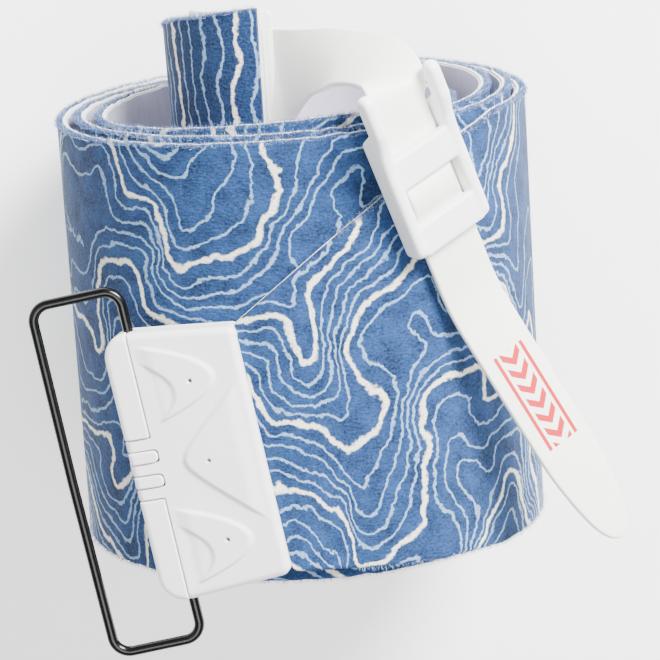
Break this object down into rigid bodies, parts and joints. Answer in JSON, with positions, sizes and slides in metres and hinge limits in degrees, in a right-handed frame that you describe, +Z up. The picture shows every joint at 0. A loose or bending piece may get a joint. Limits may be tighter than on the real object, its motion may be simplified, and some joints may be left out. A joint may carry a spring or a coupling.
{
  "type": "climbing skin",
  "caption": "Rolled ski climbing skin with printed pile outside, a tip bracket with a hinged wire bail, and a tail strap with a slide buckle.",
  "frame": {"origin": "on the surface the roll lies on, under the middle of the roll's axis", "axes": "+Z up, +Y along the roll's axis from the strap end to the other end, +X to the side the wire bail is on"},
  "size_m": [0.1698, 0.1831, 0.1524],
  "materials": {
    "pile_fabric": "dense printed nylon pile",
    "adhesive_backing": "satin protective film over glue",
    "white_shell": "moulded, satin",
    "strap_white": "smooth elastomer",
    "coated_steel": "black coated wire",
    "pin_brass": "plain"
  },
  "bodies": {
    "roll": {"pile_roll": "pile_fabric", "backing_roll": "adhesive_backing", "strap_plate": "strap_white"},
    "tip": {"pile_tip": "pile_fabric", "backing_tip": "adhesive_backing", "bracket_cover": "white_shell", "bracket_base": "white_shell", "bracket_pin_1": "pin_brass", "bracket_pin_2": "pin_brass", "bracket_pin_3": "pin_brass"},
    "bail": {"wire_bail": "coated_steel"},
    "tail_strap": {"strap": "strap_white"},
    "slide_buckle": {"buckle": "white_shell", "strap_hump": "strap_white"}
  },
  "joints": [
    {"name": "tip_peel", "type": "hinge", "parent": "roll", "child": "tip", "pos_m": [-0.0126, 0, 0.1398], "axis": [0, -1, 0], "range_deg": [0, 50]},
    {"name": "bail_swing", "type": "hinge", "parent": "tip", "child": "bail", "pos_m": [0.0427, 0.028, 0.1341], "axis": [0.1601, -0.9863, -0.0399], "range_deg": [-46, 148]},
    {"name": "strap_lift", "type": "hinge", "parent": "roll", "child": "tail_strap", "pos_m": [0.0017, -0.0795, 0.0946], "axis": [0, 1, 0], "range_deg": [0, 25]},
    {"name": "buckle_slide", "type": "slide", "parent": "tail_strap", "child": "slide_buckle", "axis": [-0.3025, 0.9311, -0.204], "range_m": [0, 0.012]}
  ]
}
